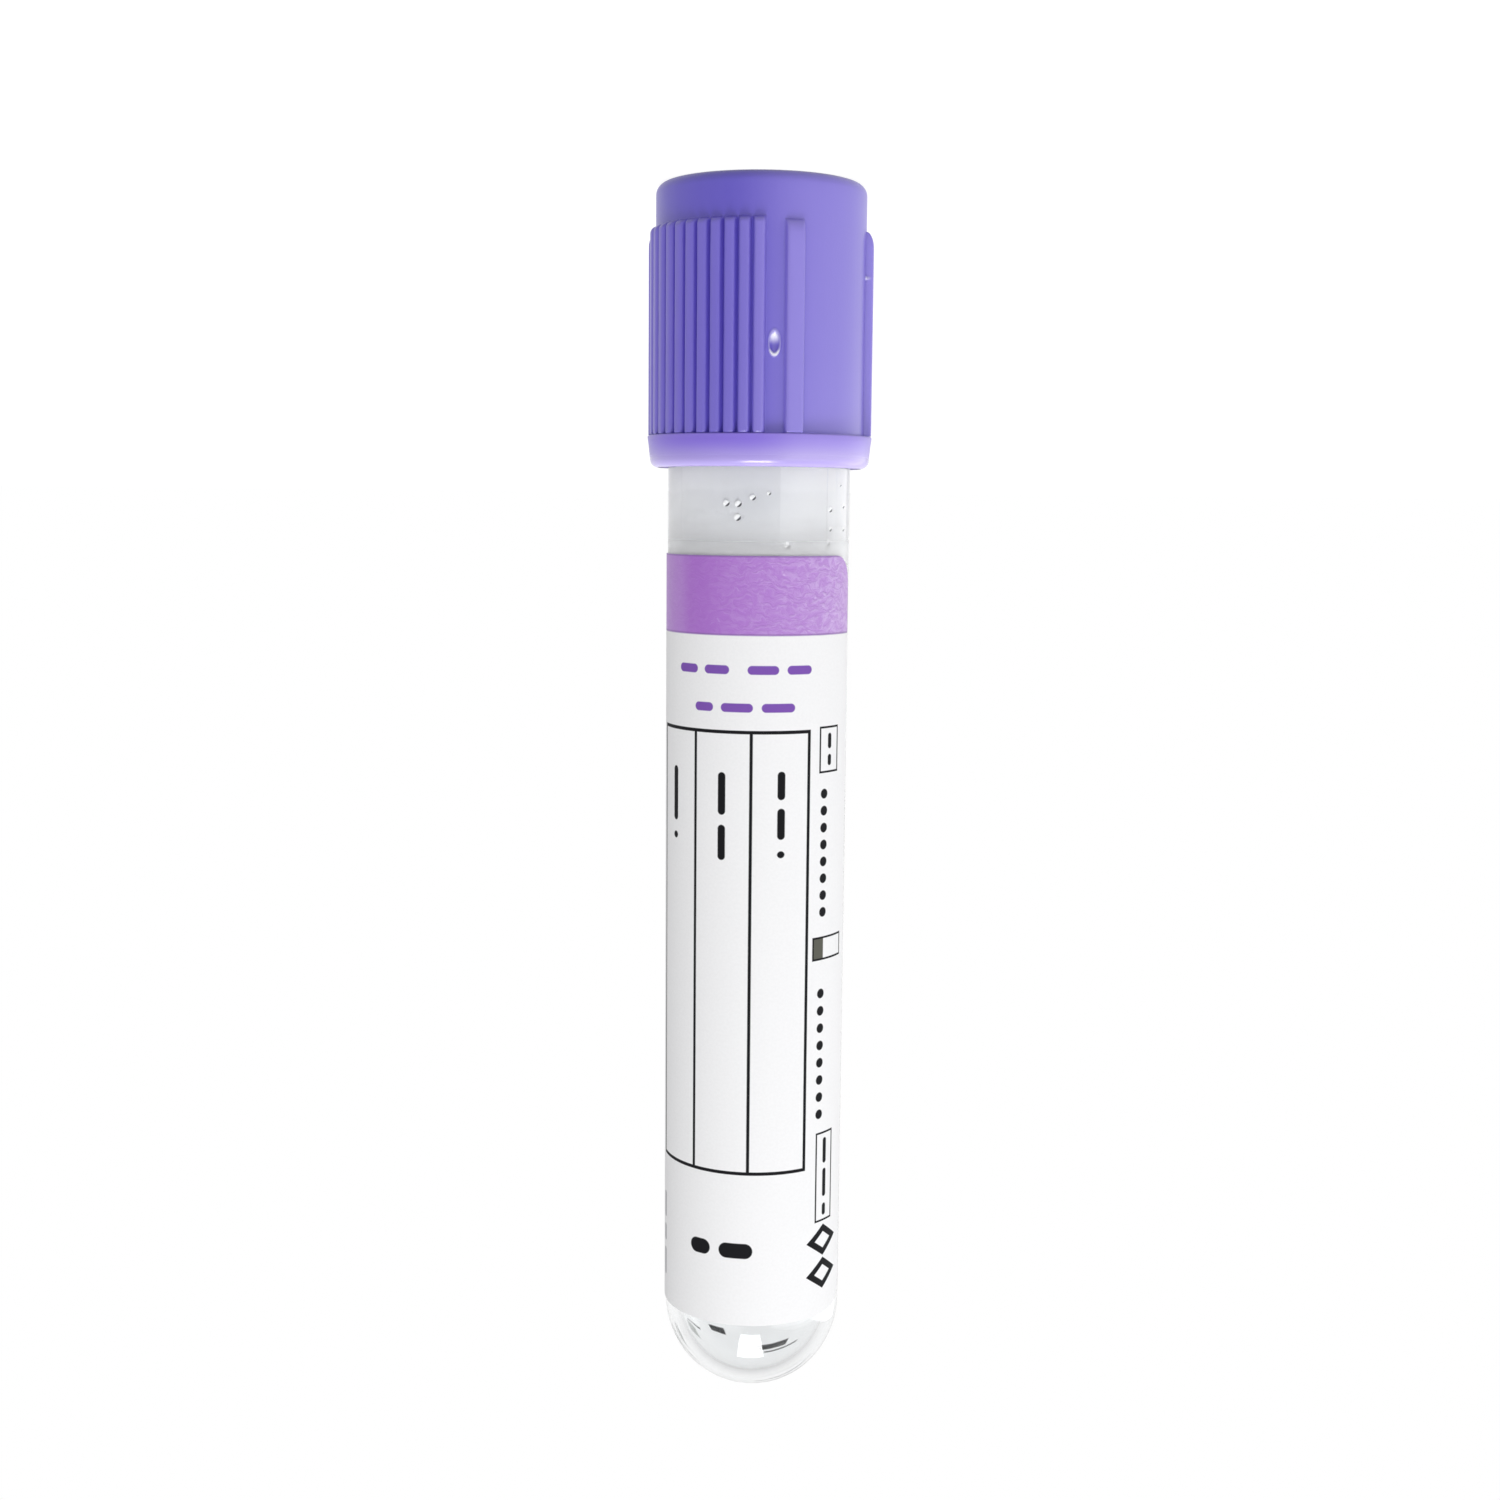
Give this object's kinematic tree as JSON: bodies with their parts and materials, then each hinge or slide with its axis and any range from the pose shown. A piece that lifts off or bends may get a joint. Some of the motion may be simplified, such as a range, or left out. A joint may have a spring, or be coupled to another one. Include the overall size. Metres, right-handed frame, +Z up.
{
  "type": "blood collection tube",
  "caption": "Clear round-bottomed blood collection tube with a wrap-round label and a ribbed push-fit cap that holds a rubber stopper.",
  "frame": {"origin": "on the bench, in the middle of the flat ring round the cap's opening, on which the closed tube stands on its head", "axes": "+Z up from the bench, along the tube's axis from the cap's top to the round bottom, -Y out of the front of the label, +X to the label's left as it is read with the cap at the top"},
  "size_m": [0.016, 0.016, 0.0874],
  "materials": {
    "clear_plastic": "gloss",
    "label_paper": "satin",
    "violet_plastic": "satin",
    "stopper_rubber": "matte"
  },
  "bodies": {
    "closure": {"cap": "violet_plastic", "stopper": "stopper_rubber"},
    "tube": {"tube": "clear_plastic", "label": "label_paper"}
  },
  "joints": [
    {"name": "tube_pull", "type": "slide", "parent": "closure", "child": "tube", "axis": [0, 0, 1], "range_m": [0, 0.015]}
  ]
}
